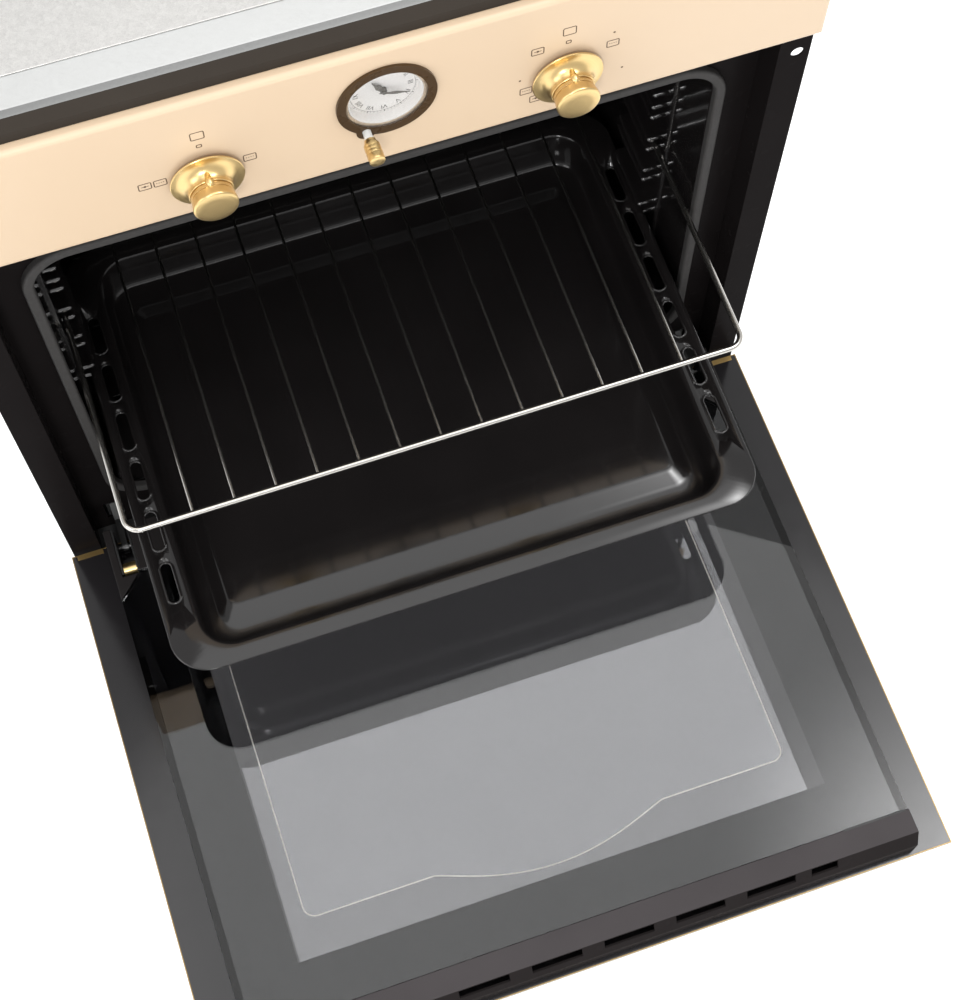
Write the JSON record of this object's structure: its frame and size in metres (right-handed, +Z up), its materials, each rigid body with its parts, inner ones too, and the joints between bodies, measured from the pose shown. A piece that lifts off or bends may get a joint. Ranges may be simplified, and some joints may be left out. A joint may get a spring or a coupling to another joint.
{
  "type": "built-in gas oven",
  "caption": "Built-in gas oven with a cream panel, brass knobs and timer clock, a drop-down glass door, a wire rack and a baking tray that slide on runners.",
  "frame": {"origin": "middle of the casing base underside, where the oven rests on the cabinet shelf", "axes": "+Z up, front and open door towards -Y, +X to the right seen from the front"},
  "size_m": [0.595, 1.018, 0.6253],
  "materials": {
    "cream_enamel": "semi-gloss enamel",
    "black_enamel": "high-gloss enamel",
    "galvanised": "spangled zinc",
    "brass_satin": "satin brass",
    "bronze_dark": "dark bronze, satin",
    "dial_white": "white, printed",
    "hand_grey": "satin",
    "clear_lens": "clear",
    "clear_stem": "clear acrylic",
    "seal_grey": "silicone rubber",
    "chrome_wire": "polished",
    "zinc_steel": "zinc plated",
    "door_glass_outer": "dark print with a clear window",
    "door_glass_inner": "reflective coating",
    "trim_dark": "dark brown satin",
    "mineral_wool": "loose fibre",
    "burner_metal": "raw",
    "moulded_black": "moulded",
    "heater_tube": "oxidised",
    "lamp_glass": "frosted"
  },
  "bodies": {
    "oven_body": {"base_pan": "galvanised", "right_side_panel": "galvanised", "left_side_panel": "galvanised", "back_panel": "galvanised", "top_cover": "galvanised", "top_front_rail": "galvanised", "front_frame": "black_enamel", "control_panel": "cream_enamel", "cavity_wrapper": "black_enamel", "cavity_right_wall": "black_enamel", "cavity_left_wall": "black_enamel", "floor_plate": "black_enamel", "insulation_blanket": "mineral_wool", "door_seal": "seal_grey", "hinge_arms": "zinc_steel", "hinge_receivers": "zinc_steel", "function_switch": "moulded_black", "gas_thermostat_valve": "burner_metal", "clock_bezel": "bronze_dark", "clock_lens": "clear_lens", "clock_dial": "dial_white", "clock_movement": "moulded_black", "control_shelf": "galvanised", "oven_burner": "burner_metal", "burner_supply_pipe": "burner_metal", "gas_inlet": "brass_satin", "gas_feed_pipe": "burner_metal", "ignition_probes": "zinc_steel", "grill_element": "heater_tube", "lamp_housing": "zinc_steel", "lamp_lens": "lamp_glass", "fan_cover": "black_enamel", "fan_motor": "zinc_steel", "blower_housing": "galvanised", "blower_motor": "moulded_black", "terminal_block": "moulded_black"},
    "door": {"door_outer_glass": "door_glass_outer", "door_inner_glass": "door_glass_inner", "door_side_rails": "trim_dark", "door_bottom_rail": "trim_dark", "door_top_trim": "trim_dark", "hinge_housings": "zinc_steel", "hinge_pins": "zinc_steel", "hinge_rollers": "brass_satin", "hinge_springs": "zinc_steel", "handle_bar": "brass_satin", "handle_posts": "brass_satin"},
    "wire_rack": {"wire_rack": "chrome_wire"},
    "baking_tray": {"baking_tray": "black_enamel"},
    "function_knob": {"left_knob": "brass_satin", "left_spindle": "zinc_steel"},
    "gas_plunger": {"gas_plunger": "zinc_steel"},
    "gas_knob": {"right_knob": "brass_satin", "right_spindle": "zinc_steel"},
    "timer_knob": {"timer_stem": "clear_stem", "timer_cap": "brass_satin"},
    "minute_hand": {"minute_hand": "hand_grey"},
    "hour_hand": {"hour_hand": "hand_grey"},
    "convection_fan": {"convection_fan": "zinc_steel"},
    "blower_wheel": {"blower_wheel": "burner_metal"}
  },
  "joints": [
    {"name": "door_hinge", "type": "hinge", "parent": "oven_body", "child": "door", "pos_m": [0, -0.2795, 0.0255], "axis": [-1, 0, 0], "range_deg": [0, 90]},
    {"name": "tray_slide", "type": "slide", "parent": "oven_body", "child": "baking_tray", "axis": [0, 1, 0], "range_m": [0, 0.20597]},
    {"name": "rack_slide", "type": "slide", "parent": "oven_body", "child": "wire_rack", "axis": [0, 1, 0], "range_m": [0, 0.12272]},
    {"name": "function_knob_turn", "type": "hinge", "parent": "oven_body", "child": "function_knob", "pos_m": [-0.1165, -0.277, 0.513], "axis": [0, -1, 0], "range_deg": [-90, 90]},
    {"name": "gas_knob_push", "type": "slide", "parent": "oven_body", "child": "gas_plunger", "axis": [0, 1, 0], "range_m": [0, 0.003], "stiffness_N_per_m": 900, "springref_m": -0.003},
    {"name": "gas_knob_turn", "type": "hinge", "parent": "gas_plunger", "child": "gas_knob", "pos_m": [0.1165, -0.277, 0.513], "axis": [0, -1, 0], "range_deg": [-150, 150]},
    {"name": "timer_turn", "type": "hinge", "parent": "oven_body", "child": "timer_knob", "pos_m": [-0.0145, -0.277, 0.513], "axis": [0, -1, 0], "continuous": true},
    {"name": "minute_hand_turn", "type": "hinge", "parent": "oven_body", "child": "minute_hand", "pos_m": [0, -0.277, 0.539], "axis": [0, -1, 0], "continuous": true},
    {"name": "hour_hand_turn", "type": "hinge", "parent": "oven_body", "child": "hour_hand", "pos_m": [0, -0.277, 0.539], "axis": [0, -1, 0], "continuous": true},
    {"name": "fan_spin", "type": "hinge", "parent": "oven_body", "child": "convection_fan", "pos_m": [0, 0.141, 0.24], "axis": [0, -1, 0], "continuous": true},
    {"name": "blower_spin", "type": "hinge", "parent": "oven_body", "child": "blower_wheel", "pos_m": [-0.06, -0.017, 0.48], "axis": [0, 0, 1], "continuous": true}
  ],
  "couplings": [
    {"joint": "tray_slide", "follows": "door_hinge", "m_per_rad": 0.131},
    {"joint": "rack_slide", "follows": "door_hinge", "m_per_rad": 0.078},
    {"joint": "minute_hand_turn", "follows": "timer_turn", "ratio": 1},
    {"joint": "hour_hand_turn", "follows": "timer_turn", "ratio": 0.083333}
  ]
}
